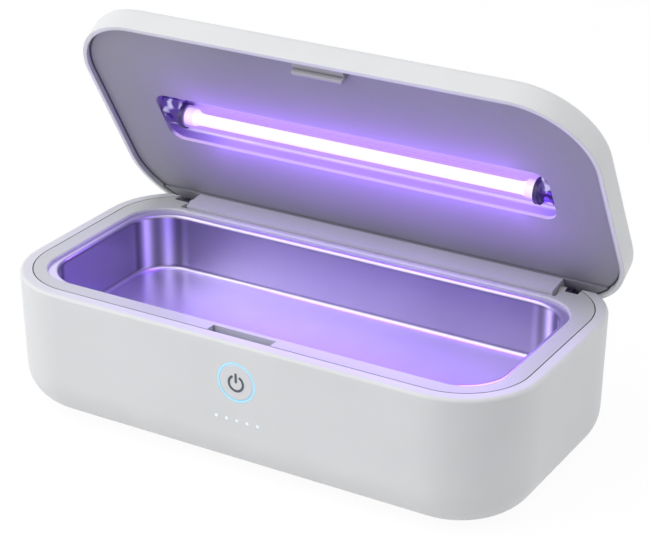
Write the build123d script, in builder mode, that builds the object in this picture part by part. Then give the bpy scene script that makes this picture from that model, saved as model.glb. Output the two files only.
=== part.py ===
from build123d import *
import os
from math import cos, radians, sin, tan

# A countertop UV sanitizer box for phones, stood with its lid swung open.
# Millimetres, +Z up, +X to the right, +Y to the back. The origin is on the table, under the middle of
# the housing.

# ---- housing -------------------------------------------------------------------------------------
LENGTH = 229.0
DEPTH = 118.0
RIM_HEIGHT = 58.0
CORNER_RADIUS = 33.0
SIDE_TAPER = 1.2  # degrees, the walls lean in towards the bottom
BOTTOM_ROUND = 17.0
WALL = 2.4
FLOOR = 4.0
RIM_LAND = 5.0  # flat top of the shell, outside the bezel
RIM_LEDGE = 1.4  # what the bezel sits on
RIM_LEDGE_THICKNESS = 2.0
RIM_ROUND = 1.5

COVER_INSET = 21.0
COVER_THICKNESS = 2.0
COVER_LEDGE = 7.0
COVER_RADIUS = 14.0
COVER_FIT = 0.2
COVER_SCREW_SPACING = 72.0
SCREW_RADIUS = 1.5
SCREW_HEAD_RADIUS = 2.7
SCREW_HEAD_HEIGHT = 1.2
SCREW_DEPTH = 8.0
BOSS_RADIUS = 3.2
BOSS_HEIGHT = 10.0

FOOT_INSET = 33.0  # one rubber ring under the cover, measured in from the rim
FOOT_RING_RADIUS = 12.0
FOOT_WIDTH = 5.0
FOOT_DROP = 0.8
FOOT_RECESS = 0.6
FOOT_CHAMFER = 0.3

# ---- bezel and tub -------------------------------------------------------------------------------
BEZEL_THICKNESS = 2.2
BEZEL_FIT = 0.45
BEZEL_WIDTH = 7.6
BEZEL_REAR_WIDTH = 21.0
BEZEL_INNER_RADIUS = 17.0
BEZEL_EDGE_ROUND = 0.8
BEZEL_LIP = 1.1  # what is left of the bezel over the tub's flange

GASKET_THICKNESS = 0.3
GASKET_WIDTH = 1.6
FLANGE_FIT = 0.1
STEEL = 0.8
TUB_STEP = 2.8  # how far the tub wall stands inside the bezel opening
TUB_RADIUS = 18.0
TUB_FLOOR = 31.5  # above the table
TUB_LIP_ROUND = 1.7
TUB_FLOOR_ROUND = 2.0

# ---- hinge ---------------------------------------------------------------------------------------
LID_OPEN = 60.0  # degrees, the rest pose, which is the stop
LID_GAP = 0.3
HINGE_INBOARD = 9.0  # axis to the rear face
MATE_ABOVE_AXIS = 4.0  # axis to the lid's lower edge when shut
BARREL_RADIUS = 9.0
BARREL_INBOARD = 28.2  # barrel's end to the housing's
BARREL_FLAT_TOP = -3.7  # where the barrel's flat meets the liner
BARREL_FLAT_FOOT = (-7.7, -4.3)
BARREL_CORNER = (0.4, -9.2)
BARREL_FIT = 0.1
BARREL_CHANNEL = (8.0, 7.0)  # wiring channel, width and depth
BARREL_CHANNEL_INBOARD = 16.3  # channel's end to the barrel's
TROUGH_CLEARANCE = 0.7
TROUGH_WALL = 1.3
NOTCH_END_GAP = 2.1  # barrel's end to the narrow notch's
NOTCH_STEP_LENGTH = 7.0
NOTCH_STEP_BACK = 3.8  # the wide part of the notch starts this far in front of the axis
REAR_CUT_DROP = 6.9  # the rear wall is cut to this far below the axis
RELIEF_INBOARD = 11.8  # relief's end to the lid's
LID_RELIEF = ((0.9, 5.0), (0.9, 3.4), (2.9, 1.5), (10.4, -11.5), (14.0, 5.0))  # from the axis
PIN_RADIUS = 1.6
PIN_FIT = 0.05
PIN_LENGTH = 18.0
PIN_HEAD = (2.8, 1.0)
EAR_THICKNESS = 3.0
EAR_RADIUS = 3.5
EAR_GAP = 0.8  # narrow notch's end to the ear
EAR_FOOT = (5.0, 6.0, 2.4)
EAR_FOOT_FORWARD = 0.4
EAR_FOOT_ROUND = 1.0
WASHER_RADIUS = 3.4
WASHER_GAP = 0.1

# ---- button, lights and boards -------------------------------------------------------------------
BUTTON_X = 3.5
BUTTON_DROP = 16.4  # below the rim
RING_RADIUS = 8.5
RING_WIDTH = 1.0
RING_FLANGE = 1.3
RING_FLANGE_THICKNESS = 1.0
RING_FIT = 0.05
CAP_FIT = 0.15
CAP_THICKNESS = 1.8
CAP_FLANGE_RADIUS = 8.4
CAP_FLANGE_THICKNESS = 0.9
CAP_NECK_INSET = 0.7
PAD_RADIUS = 2.6
PAD_THICKNESS = 0.6
BUTTON_TRAVEL = 0.8
PLUNGER_RADIUS = 1.7
PLUNGER_SHOW = 1.0
PLUNGER_DEPTH = 1.2
SWITCH_SIZE = 6.2
SWITCH_HEIGHT = 3.4
LIGHT_X = -0.2  # from the button's centre
LIGHTS_BELOW = 16.5  # under the button's centre
LIGHT_COUNT = 5
LIGHT_PITCH = 4.65
LIGHT_RADIUS = 0.6
LIGHT_FIT = 0.05
LED_SIZE = (1.6, 1.0, 0.8)
BOARD_THICKNESS = 1.6
BOARD_LENGTH = 62.0
BOARD_TOP = 8.6  # above the button's centre
BOARD_BOTTOM = -23.0
BOARD_SCREW_INSET = 3.4
BOARD_POST_RADIUS = 2.6
BOARD_SCREW_RADIUS = 1.1
BOARD_SCREW_HEAD = (2.2, 1.2)

DRIVER_X = -42.0
DRIVER_LENGTH = 72.0
DRIVER_REAR_INSET = 12.0  # board's rear edge to the rear face
DRIVER_POST_X = 32.0  # posts each side of the board's middle
DRIVER_POST_INSET = (15.0, 7.0)  # from the front and rear of the cover's opening
DRIVER_EDGE = 3.0  # front posts to the board's front edge
DRIVER_Z = 14.0
BOARD_SCREW_DEPTH = 6.0
TRANSFORMER = (20.0, 17.0, 12.5)
CAPACITOR = (4.0, 12.0)
USB_X = -60.0
USB_SIZE = (9.0, 3.3, 7.6)
USB_WALL = 0.35
USB_FIT = 0.25

# ---- latch ---------------------------------------------------------------------------------------
SLOT_X = 1.6
SLOT_LENGTH = 28.0
SLOT_WIDTH = 4.9
SLOT_SKIRT = 0.9
SLOT_SKIRT_DROP = 4.6  # below the bezel
HOOK_X = 3.3
HOOK_LENGTH = 22.6
HOOK_ROOT = 5.1
HOOK_ROOT_RISE = 1.5
HOOK_TONGUE = 1.8
HOOK_DROP = 1.6
HOOK_INBOARD = 5.5  # tongue to the lid's front face
HOOK_POCKET = 2.4
MAGNET = (2.5, 3.0)

# ---- lid -----------------------------------------------------------------------------------------
LID_HEIGHT = 11.4
LID_PROUD = 1.1  # past the housing at each end
LID_SKIN = 1.8
LID_WALL = 2.0
LID_TOP_ROUND = 2.5
LID_EDGE_ROUND = 0.4
LID_BOSS_RADIUS = 3.0
LID_BOSS_SPACING = (88.0, 84.0)  # six bosses that the liner is glued to
LID_RIB = 1.2
LID_RIB_PITCH = 44.0
LID_RIB_COUNT = 5
LID_RIB_GAP = 0.3  # to the liner
LINER_FIT = 0.15
LINER_RECESS = 2.2
LINER_THICKNESS = 1.6
LINER_EDGE_ROUND = 0.5
BORDER_RISE = 1.0

# ---- lamp ----------------------------------------------------------------------------------------
TROUGH_X = 1.4
TROUGH_HALF = 89.0
TROUGH_WIDTH = 27.3
TROUGH_RADIUS = 6.0
TROUGH_INBOARD = 62.25  # trough's middle to the lid's rear face
REFLECTOR_OVERRUN = 8.5  # past the liner's opening at each end
REFLECTOR_DEPTH = 8.6  # lid's lower edge to the reflector's floor
REFLECTOR_SHEET = 0.6
REFLECTOR_FLANGE = 3.0
REFLECTOR_ROUND = 2.0
TUBE_X = 4.9
TUBE_RADIUS = 4.6
TUBE_GLASS = 0.8
TUBE_SETBACK = 9.5  # half of what the trough is longer than the tube
TUBE_INBOARD = 64.6
END_CAP_PLUG = 4.0
CLIP_WIDTH = 1.9
CLIP_WALL = 0.65
CLIP_FLOOR_GAP = 0.1
SOCKET_LENGTH = 10.0
SOCKET_PROFILE = ((-6.4, 0), (-6.4, -3.4), (-1.6, -6.4), (6.2, -6.4), (6.2, 0))  # under the reflector
SOCKET_FIT = 0.1
SOCKET_ROUND = 0.6
SOCKET_SCREW = (1.7, 0.8)
SOCKET_SCREW_PITCH = 6.0
SOCKET_SCREW_OFFSET = 2.2  # behind the tube's axis

# ---- places worked out from the sizes above ------------------------------------------------------
taper = radians(SIDE_TAPER)
HALF_LENGTH = LENGTH / 2
HALF_DEPTH = DEPTH / 2
UNDERSIDE = FOOT_DROP
COVER_TOP = UNDERSIDE + COVER_THICKNESS
FLOOR_TOP = UNDERSIDE + FLOOR
LEDGE_BOTTOM = RIM_HEIGHT - BEZEL_THICKNESS - RIM_LEDGE_THICKNESS
BEZEL_BOTTOM = RIM_HEIGHT - BEZEL_THICKNESS
BEZEL_OUTER_INSET = RIM_LAND + BEZEL_FIT
OPENING_HALF = HALF_LENGTH - RIM_LAND - BEZEL_WIDTH
OPENING_FRONT = -HALF_DEPTH + RIM_LAND + BEZEL_WIDTH
OPENING_REAR = HALF_DEPTH - BEZEL_REAR_WIDTH
FLANGE_TOP = RIM_HEIGHT - BEZEL_LIP - GASKET_THICKNESS
TUB_HALF = OPENING_HALF - TUB_STEP
TUB_FRONT = OPENING_FRONT + TUB_STEP
TUB_REAR = OPENING_REAR - TUB_STEP
TUB_DEPTH = FLANGE_TOP - TUB_FLOOR

HINGE_Y = HALF_DEPTH - HINGE_INBOARD
HINGE_Z = RIM_HEIGHT + LID_GAP - MATE_ABOVE_AXIS
BARREL_HALF_LENGTH = HALF_LENGTH - BARREL_INBOARD
NOTCH_INNER_HALF = BARREL_HALF_LENGTH + NOTCH_END_GAP
NOTCH_OUTER_HALF = NOTCH_INNER_HALF + NOTCH_STEP_LENGTH
EAR_START = NOTCH_INNER_HALF + EAR_GAP
RELIEF_HALF = HALF_LENGTH + LID_PROUD - RELIEF_INBOARD
TROUGH_INNER = BARREL_RADIUS + TROUGH_CLEARANCE
NOTCH_FLOOR = HINGE_Z - TROUGH_INNER
NOTCH_STEP_Y = HINGE_Y - NOTCH_STEP_BACK
REAR_CUT_Z = HINGE_Z - REAR_CUT_DROP
NOTCH_BOX_HALF = NOTCH_OUTER_HALF + TROUGH_WALL
NOTCH_BOX_FRONT = NOTCH_STEP_Y - TROUGH_WALL
NOTCH_BOX_BOTTOM = NOTCH_FLOOR - TROUGH_WALL
REAR_WALL_INNER = HALF_DEPTH - (RIM_HEIGHT - NOTCH_BOX_BOTTOM) * tan(taper) - WALL / cos(taper)

# The hinge axis runs along X at this plane's origin; the plane's x is to the back, its y up.
HINGE = Plane(origin=(0, HINGE_Y, HINGE_Z), x_dir=(0, 1, 0), z_dir=(1, 0, 0))

# The lid's own plane lies on the hinge axis. Its x runs along the hinge, its y towards the lid's
# rear edge and its z out through the lid's top.
lean = radians(LID_OPEN)
LID = Plane(origin=HINGE.origin, x_dir=(1, 0, 0), z_dir=(0, sin(lean), cos(lean)))
LID_SECTION = Plane(origin=LID.origin, x_dir=LID.y_dir, z_dir=(1, 0, 0))
LID_UP = Axis(LID.origin, LID.z_dir)
LID_REAR = HINGE_INBOARD
LID_FRONT = HINGE_INBOARD - DEPTH
REAR_BOSS_V = (LID_FRONT + LID_REAR + LID_BOSS_SPACING[1]) / 2
SKIN_INNER = MATE_ABOVE_AXIS + LID_HEIGHT - LID_SKIN
LINER_FACE = MATE_ABOVE_AXIS + LINER_RECESS
LINER_BACK = LINER_FACE + LINER_THICKNESS
BORDER_FACE = LINER_FACE - BORDER_RISE
TROUGH_V = LID_REAR - TROUGH_INBOARD
TUBE_V = LID_REAR - TUBE_INBOARD
TUBE_HALF = TROUGH_HALF - TUBE_SETBACK
REFLECTOR_FLOOR = MATE_ABOVE_AXIS + REFLECTOR_DEPTH
CLIP_RADIUS = TUBE_RADIUS + PIN_FIT + CLIP_WALL
TUBE_W = REFLECTOR_FLOOR - CLIP_FLOOR_GAP - CLIP_RADIUS

BUTTON_Z = RIM_HEIGHT - BUTTON_DROP
# The front wall's own plane lies on its outer face at the button, its z pointing out.
FRONT = Plane(
    origin=(BUTTON_X, -HALF_DEPTH + BUTTON_DROP * tan(taper), BUTTON_Z),
    x_dir=(1, 0, 0),
    z_dir=(0, -cos(taper), -sin(taper)),
)
RING_BACK = -WALL - RING_FIT - RING_FLANGE_THICKNESS
CAP_BACK = RING_BACK - CAP_FLANGE_THICKNESS - RING_FIT
PLUNGER_TIP = CAP_BACK - PAD_THICKNESS
SWITCH_FRONT = PLUNGER_TIP - PLUNGER_SHOW
BOARD_FRONT = SWITCH_FRONT - SWITCH_HEIGHT
LIGHT_DROP = -LIGHTS_BELOW / cos(taper)
BOARD_POSTS = [
    (side * (BOARD_LENGTH / 2 - BOARD_SCREW_INSET), end)
    for side in (-1, 1)
    for end in (BOARD_TOP - BOARD_SCREW_INSET, BOARD_BOTTOM + BOARD_SCREW_INSET)
]
LIGHTS = [
    (LIGHT_X + (place - (LIGHT_COUNT - 1) / 2) * LIGHT_PITCH, LIGHT_DROP) for place in range(LIGHT_COUNT)
]
COVER_SCREWS = [
    (column * COVER_SCREW_SPACING, side * (HALF_DEPTH - COVER_INSET - COVER_LEDGE / 2))
    for column in (-1, 0, 1)
    for side in (-1, 1)
]
OPENING_UNDER = HALF_DEPTH - COVER_INSET - COVER_LEDGE
DRIVER_FRONT = DRIVER_POST_INSET[0] - OPENING_UNDER
DRIVER_POSTS = [
    (DRIVER_X + side * DRIVER_POST_X, end)
    for side in (-1, 1)
    for end in (DRIVER_FRONT, OPENING_UNDER - DRIVER_POST_INSET[1])
]
DRIVER_SIZE = (DRIVER_LENGTH, HALF_DEPTH - DRIVER_REAR_INSET - DRIVER_FRONT + DRIVER_EDGE)
DRIVER_CENTRE = (DRIVER_X, HALF_DEPTH - DRIVER_REAR_INSET - DRIVER_SIZE[1] / 2)

os.makedirs("parts", exist_ok=True)


def outline(half_length, front, rear, radius, mode=Mode.ADD):
    """A rounded rectangle, symmetric left to right, between a front and a rear edge."""
    with Locations((0, (front + rear) / 2)):
        RectangleRounded(2 * half_length, rear - front, radius, mode=mode)


def housing_outline(inset, radius, mode=Mode.ADD):
    """The housing's outline at the rim, brought in on every side."""
    outline(HALF_LENGTH - inset, -HALF_DEPTH + inset, HALF_DEPTH - inset, radius, mode)


def lid_outline(inset):
    """The lid's outline on its own plane, brought in on every side."""
    outline(HALF_LENGTH + LID_PROUD - inset, LID_FRONT + inset, LID_REAR - inset, CORNER_RADIUS - inset)


def foot_outline():
    """The rubber ring that the box stands on."""
    housing_outline(FOOT_INSET, FOOT_RING_RADIUS)
    housing_outline(FOOT_INSET + FOOT_WIDTH, FOOT_RING_RADIUS - FOOT_WIDTH, Mode.SUBTRACT)


def flange_outline(fit=0):
    """The outer edge that the tub's flange, its gasket and the bezel's rebate share."""
    outline(
        OPENING_HALF + GASKET_WIDTH + fit,
        OPENING_FRONT - GASKET_WIDTH - fit,
        OPENING_REAR + GASKET_WIDTH / 2 + fit,
        BEZEL_INNER_RADIUS + GASKET_WIDTH + fit,
    )


def slot_outline(front_inset, margin=0):
    """The latch slot, from an inset in the front face backwards, wider by a margin on three sides."""
    rear_inset = RIM_LAND + SLOT_WIDTH + margin
    with Locations((SLOT_X, (front_inset + rear_inset) / 2 - HALF_DEPTH)):
        Rectangle(SLOT_LENGTH + 2 * margin, rear_inset - front_inset)


def trough_outline(grown, overrun=0):
    """The lamp trough on the lid's plane, grown on every side and longer by an overrun."""
    with Locations((TROUGH_X, TROUGH_V)):
        RectangleRounded(
            2 * (TROUGH_HALF + overrun + grown), TROUGH_WIDTH + 2 * grown, TROUGH_RADIUS + grown
        )


# ---- base shell ----------------------------------------------------------------------------------
cavity_inset = WALL / cos(taper) + (RIM_HEIGHT - LEDGE_BOTTOM) * tan(taper)
with BuildPart() as shell_cavity:
    with BuildSketch(Plane.XY.offset(LEDGE_BOTTOM)):
        housing_outline(cavity_inset, CORNER_RADIUS - cavity_inset)
    extrude(amount=FLOOR_TOP - LEDGE_BOTTOM, taper=SIDE_TAPER)
    fillet(faces().sort_by(Axis.Z)[0].edges(), BOTTOM_ROUND - WALL)

with BuildPart() as base_shell:
    with BuildSketch(Plane.XY.offset(RIM_HEIGHT)):
        housing_outline(0, CORNER_RADIUS)
    extrude(amount=UNDERSIDE - RIM_HEIGHT, taper=SIDE_TAPER)
    fillet(faces().sort_by(Axis.Z)[0].edges(), BOTTOM_ROUND)
    fillet(faces().sort_by(Axis.Z)[-1].edges(), RIM_ROUND)
    add(shell_cavity.part, mode=Mode.SUBTRACT)

    # The rim's rebate, the ledge inside it, and the opening for the bottom cover with its ledge.
    for inset, bottom, top in (
        (RIM_LAND, BEZEL_BOTTOM, RIM_HEIGHT),
        (RIM_LAND + RIM_LEDGE, LEDGE_BOTTOM, BEZEL_BOTTOM),
    ):
        with BuildSketch(Plane.XY.offset(bottom)):
            housing_outline(inset, CORNER_RADIUS - inset)
        extrude(amount=top - bottom, mode=Mode.SUBTRACT)
    for inset, bottom, top in (
        (COVER_INSET, UNDERSIDE, COVER_TOP),
        (COVER_INSET + COVER_LEDGE, COVER_TOP, FLOOR_TOP),
    ):
        with BuildSketch(Plane.XY.offset(bottom)):
            housing_outline(inset, COVER_RADIUS + COVER_INSET - inset)
        extrude(amount=top - bottom, mode=Mode.SUBTRACT)

    # Bosses for the cover's screws, and posts behind the front wall for the control board.
    with BuildSketch(Plane.XY.offset(COVER_TOP)):
        with Locations(*COVER_SCREWS):
            Circle(BOSS_RADIUS)
    extrude(amount=BOSS_HEIGHT)
    with BuildSketch(Plane.XY.offset(COVER_TOP)):
        with Locations(*COVER_SCREWS):
            Circle(SCREW_RADIUS)
    extrude(amount=SCREW_DEPTH + PIN_FIT, mode=Mode.SUBTRACT)
    with BuildSketch(FRONT.offset(-WALL / 2)):
        with Locations(*BOARD_POSTS):
            Circle(BOARD_POST_RADIUS)
    extrude(amount=BOARD_FRONT + WALL / 2)
    with BuildSketch(FRONT.offset(BOARD_FRONT)):
        with Locations(*BOARD_POSTS):
            Circle(BOARD_SCREW_RADIUS)
    extrude(amount=BOARD_SCREW_DEPTH + PIN_FIT, mode=Mode.SUBTRACT)

    # The wide notch in the rear wall that the lid's hinge barrel turns in, and the relief at its
    # two ends that the open lid's rear corners rest in.
    with BuildSketch(Plane.XZ.offset(-HALF_DEPTH - 1)):
        with Locations((0, (REAR_CUT_Z + RIM_HEIGHT + 1) / 2)):
            Rectangle(2 * NOTCH_OUTER_HALF, RIM_HEIGHT + 1 - REAR_CUT_Z)
    extrude(amount=HALF_DEPTH + 1 - NOTCH_STEP_Y, mode=Mode.SUBTRACT)
    with BuildSketch(Plane.XY.offset(LEDGE_BOTTOM)):
        with Locations((0, (NOTCH_BOX_FRONT + REAR_WALL_INNER) / 2)):
            Rectangle(2 * NOTCH_BOX_HALF + 2 * BEZEL_FIT, REAR_WALL_INNER - NOTCH_BOX_FRONT)
    extrude(amount=BEZEL_BOTTOM - LEDGE_BOTTOM, mode=Mode.SUBTRACT)
    with BuildSketch(HINGE):
        Circle(TROUGH_INNER)
    extrude(amount=NOTCH_INNER_HALF, both=True, mode=Mode.SUBTRACT)
    with BuildSketch(HINGE):
        with BuildLine():
            Polyline(*LID_RELIEF, close=True)
        make_face()
    extrude(amount=RELIEF_HALF, both=True, mode=Mode.SUBTRACT)

    # Through the front wall: the button's ring and the row of light pipes. Through the rear wall:
    # the charging socket. Behind the latch slot the rim's ledge is cut away.
    with BuildSketch(FRONT.offset(1)):
        Circle(RING_RADIUS + RING_FIT)
        with Locations(*LIGHTS):
            Circle(LIGHT_RADIUS + LIGHT_FIT)
    extrude(amount=-WALL - 2, mode=Mode.SUBTRACT)
    with BuildSketch(Plane.XZ.offset(-HALF_DEPTH)):
        with Locations((USB_X, DRIVER_Z + BOARD_THICKNESS + USB_SIZE[1] / 2)):
            SlotOverall(USB_SIZE[0] + 2 * USB_FIT, USB_SIZE[1] + 2 * USB_FIT)
    extrude(amount=BOTTOM_ROUND, mode=Mode.SUBTRACT)
    with BuildSketch(Plane.XY.offset(LEDGE_BOTTOM)):
        slot_outline(RIM_LAND, SLOT_SKIRT + BEZEL_FIT)
    extrude(amount=RIM_HEIGHT, mode=Mode.SUBTRACT)

base_shell.part.label = "base_shell"
export_step(base_shell.part, "parts/base_shell.step")

# ---- bottom cover, its screws and foot ring -------------------------------------------------------
with BuildPart() as bottom_cover:
    with BuildSketch(Plane.XY.offset(UNDERSIDE)):
        housing_outline(COVER_INSET + COVER_FIT, COVER_RADIUS - COVER_FIT)
    extrude(amount=COVER_THICKNESS)
    with BuildSketch(Plane.XY.offset(COVER_TOP)):
        with Locations(*DRIVER_POSTS):
            Circle(BOSS_RADIUS)
    extrude(amount=DRIVER_Z - COVER_TOP)
    with BuildSketch(Plane.XY.offset(DRIVER_Z)):
        with Locations(*DRIVER_POSTS):
            Circle(BOARD_SCREW_RADIUS)
    extrude(amount=-BOARD_SCREW_DEPTH - PIN_FIT, mode=Mode.SUBTRACT)
    with BuildSketch(Plane.XY.offset(UNDERSIDE)):
        with Locations(*COVER_SCREWS):
            Circle(SCREW_HEAD_RADIUS + COVER_FIT)
    extrude(amount=SCREW_HEAD_HEIGHT, mode=Mode.SUBTRACT)
    with BuildSketch(Plane.XY.offset(UNDERSIDE)):
        with Locations(*COVER_SCREWS):
            Circle(SCREW_RADIUS + COVER_FIT)
    extrude(amount=COVER_THICKNESS, mode=Mode.SUBTRACT)
    with BuildSketch(Plane.XY.offset(UNDERSIDE)):
        foot_outline()
    extrude(amount=FOOT_RECESS, mode=Mode.SUBTRACT)

bottom_cover.part.label = "bottom_cover"
export_step(bottom_cover.part, "parts/bottom_cover.step")

with BuildPart() as bottom_screws:
    with BuildSketch(Plane.XY.offset(UNDERSIDE)):
        with Locations(*COVER_SCREWS):
            Circle(SCREW_HEAD_RADIUS)
    extrude(amount=SCREW_HEAD_HEIGHT)
    with BuildSketch(Plane.XY.offset(UNDERSIDE + SCREW_HEAD_HEIGHT)):
        with Locations(*COVER_SCREWS):
            Circle(SCREW_RADIUS)
    extrude(amount=COVER_THICKNESS - SCREW_HEAD_HEIGHT + SCREW_DEPTH)

bottom_screws.part.label = "bottom_screws"
export_step(bottom_screws.part, "parts/bottom_screws.step")

with BuildPart() as rubber_foot_ring:
    with BuildSketch():
        foot_outline()
    extrude(amount=FOOT_DROP + FOOT_RECESS)
    chamfer(edges().group_by(Axis.Z)[0], FOOT_CHAMFER)

rubber_foot_ring.part.label = "rubber_foot_ring"
export_step(rubber_foot_ring.part, "parts/rubber_foot_ring.step")

# ---- bezel, with the trough that the hinge barrel turns in ---------------------------------------
with BuildPart() as bezel_frame:
    with BuildSketch(Plane.XY.offset(BEZEL_BOTTOM)):
        housing_outline(BEZEL_OUTER_INSET, CORNER_RADIUS - BEZEL_OUTER_INSET)
    extrude(amount=BEZEL_THICKNESS)
    with BuildSketch(Plane.XY.offset(BEZEL_BOTTOM)):
        outline(OPENING_HALF, OPENING_FRONT, OPENING_REAR, BEZEL_INNER_RADIUS)
    extrude(amount=BEZEL_THICKNESS, mode=Mode.SUBTRACT)
    fillet(
        faces().sort_by(Axis.Z)[-1].inner_wires()[0].edges(),
        BEZEL_EDGE_ROUND,
    )
    # A rebate round the opening takes the tub's flange and its gasket.
    with BuildSketch(Plane.XY.offset(BEZEL_BOTTOM)):
        flange_outline(FLANGE_FIT)
    extrude(amount=BEZEL_THICKNESS - BEZEL_LIP, mode=Mode.SUBTRACT)

    # Outside of the trough: a half pipe under the barrel and a box under each end notch.
    trough_outer = TROUGH_INNER + TROUGH_WALL
    with BuildSketch(HINGE):
        Circle(trough_outer)
        with Locations((0, trough_outer)):
            Rectangle(2 * trough_outer, 2 * trough_outer, mode=Mode.SUBTRACT)
        with Locations((0, (BEZEL_BOTTOM - HINGE_Z) / 2)):
            Rectangle(2 * trough_outer, BEZEL_BOTTOM - HINGE_Z)
    extrude(amount=NOTCH_INNER_HALF + TROUGH_WALL, both=True)
    with BuildSketch(Plane.XY.offset(NOTCH_BOX_BOTTOM)):
        for side in (-1, 1):
            with Locations(
                (side * (NOTCH_INNER_HALF + NOTCH_OUTER_HALF) / 2, (NOTCH_BOX_FRONT + HALF_DEPTH) / 2)
            ):
                Rectangle(
                    NOTCH_OUTER_HALF - NOTCH_INNER_HALF + 2 * TROUGH_WALL, HALF_DEPTH - NOTCH_BOX_FRONT
                )
    extrude(amount=BEZEL_BOTTOM - NOTCH_BOX_BOTTOM)

    # Inside of the trough, open at the top.
    with BuildSketch(HINGE):
        Circle(TROUGH_INNER)
        with Locations((0, (RIM_HEIGHT - HINGE_Z) / 2)):
            Rectangle(2 * TROUGH_INNER, RIM_HEIGHT - HINGE_Z)
    extrude(amount=NOTCH_INNER_HALF, both=True, mode=Mode.SUBTRACT)
    with BuildSketch(Plane.XY.offset(NOTCH_FLOOR)):
        with Locations((0, (NOTCH_STEP_Y + HALF_DEPTH) / 2)):
            Rectangle(2 * NOTCH_OUTER_HALF, HALF_DEPTH - NOTCH_STEP_Y)
    extrude(amount=RIM_HEIGHT - NOTCH_FLOOR, mode=Mode.SUBTRACT)

    # The trough is trimmed to the inside of the shell's wall, and all of it is relieved for the lid.
    room_inset = HALF_DEPTH - REAR_WALL_INNER + BEZEL_FIT
    with BuildSketch(Plane.XY.offset(NOTCH_BOX_BOTTOM)):
        Rectangle(LENGTH, DEPTH + CORNER_RADIUS)
        housing_outline(room_inset, CORNER_RADIUS - room_inset, Mode.SUBTRACT)
    extrude(amount=BEZEL_BOTTOM - NOTCH_BOX_BOTTOM, mode=Mode.SUBTRACT)
    with BuildSketch(HINGE):
        with BuildLine():
            Polyline(*LID_RELIEF, close=True)
        make_face()
    extrude(amount=RELIEF_HALF, both=True, mode=Mode.SUBTRACT)

    # The latch slot, open to the rim in front of it, with a skirt under its other three sides.
    with BuildSketch(Plane.XY.offset(BEZEL_BOTTOM)):
        slot_outline(BEZEL_OUTER_INSET, SLOT_SKIRT)
    extrude(amount=-SLOT_SKIRT_DROP)
    with BuildSketch(Plane.XY.offset(BEZEL_BOTTOM - SLOT_SKIRT_DROP)):
        slot_outline(RIM_LAND)
    extrude(amount=SLOT_SKIRT_DROP + BEZEL_THICKNESS, mode=Mode.SUBTRACT)

bezel_frame.part.label = "bezel_frame"
export_step(bezel_frame.part, "parts/bezel_frame.step")

# ---- steel tub and the gasket between it and the bezel -------------------------------------------
with BuildPart() as tub_hollow:
    with BuildSketch(Plane.XY.offset(TUB_FLOOR)):
        outline(TUB_HALF, TUB_FRONT, TUB_REAR, TUB_RADIUS)
    extrude(amount=TUB_DEPTH)
    fillet(faces().sort_by(Axis.Z)[0].edges(), TUB_FLOOR_ROUND)

with BuildPart() as steel_tub:
    with BuildSketch(Plane.XY.offset(TUB_FLOOR - STEEL)):
        outline(TUB_HALF + STEEL, TUB_FRONT - STEEL, TUB_REAR + STEEL, TUB_RADIUS + STEEL)
    extrude(amount=TUB_DEPTH + STEEL)
    fillet(faces().sort_by(Axis.Z)[0].edges(), TUB_FLOOR_ROUND + STEEL)
    with BuildSketch(Plane.XY.offset(FLANGE_TOP - STEEL)):
        flange_outline()
    extrude(amount=STEEL)
    add(tub_hollow.part, mode=Mode.SUBTRACT)
    fillet(faces().sort_by(Axis.Z)[-1].inner_wires()[0].edges(), TUB_LIP_ROUND)

steel_tub.part.label = "steel_tub"
export_step(steel_tub.part, "parts/steel_tub.step")

with BuildPart() as tub_gasket:
    with BuildSketch(Plane.XY.offset(FLANGE_TOP)):
        flange_outline()
        outline(OPENING_HALF, OPENING_FRONT, OPENING_REAR, BEZEL_INNER_RADIUS, Mode.SUBTRACT)
    extrude(amount=GASKET_THICKNESS)

tub_gasket.part.label = "tub_gasket"
export_step(tub_gasket.part, "parts/tub_gasket.step")

# ---- hinge: brackets and pins in the base, barrel on the lid -------------------------------------
for name, side in (("left", -1), ("right", 1)):
    with BuildPart() as hinge_bracket:
        with BuildSketch(HINGE.offset(side * (EAR_START + EAR_THICKNESS / 2))):
            Circle(EAR_RADIUS)
            with Locations((0, (NOTCH_FLOOR - HINGE_Z) / 2)):
                Rectangle(2 * EAR_RADIUS, HINGE_Z - NOTCH_FLOOR)
            Circle(PIN_RADIUS + PIN_FIT, mode=Mode.SUBTRACT)
        extrude(amount=EAR_THICKNESS / 2, both=True)
        with BuildSketch(Plane.XY.offset(NOTCH_FLOOR)):
            with Locations((side * (EAR_START + EAR_FOOT[0] / 2), HINGE_Y - EAR_FOOT_FORWARD)):
                RectangleRounded(EAR_FOOT[0], EAR_FOOT[1], EAR_FOOT_ROUND)
        extrude(amount=EAR_FOOT[2])
    hinge_bracket.part.label = f"hinge_bracket_{name}"
    export_step(hinge_bracket.part, f"parts/hinge_bracket_{name}.step")

    pin_outer = EAR_START + EAR_THICKNESS + PIN_FIT
    with BuildPart() as hinge_pin:
        with BuildSketch(HINGE.offset(side * pin_outer)):
            Circle(PIN_RADIUS)
        extrude(amount=-side * PIN_LENGTH)
        with BuildSketch(HINGE.offset(side * pin_outer)):
            Circle(PIN_HEAD[0])
        extrude(amount=side * PIN_HEAD[1])
    hinge_pin.part.label = f"hinge_pin_{name}"
    export_step(hinge_pin.part, f"parts/hinge_pin_{name}.step")

    with BuildPart() as friction_washer:
        with BuildSketch(HINGE.offset(side * (BARREL_HALF_LENGTH + WASHER_GAP))):
            Circle(WASHER_RADIUS)
            Circle(PIN_RADIUS + PIN_FIT, mode=Mode.SUBTRACT)
        extrude(amount=side * (EAR_START - BARREL_HALF_LENGTH - WASHER_GAP))
    friction_washer.part.label = f"friction_washer_{name}"
    export_step(friction_washer.part, f"parts/friction_washer_{name}.step")

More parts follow.
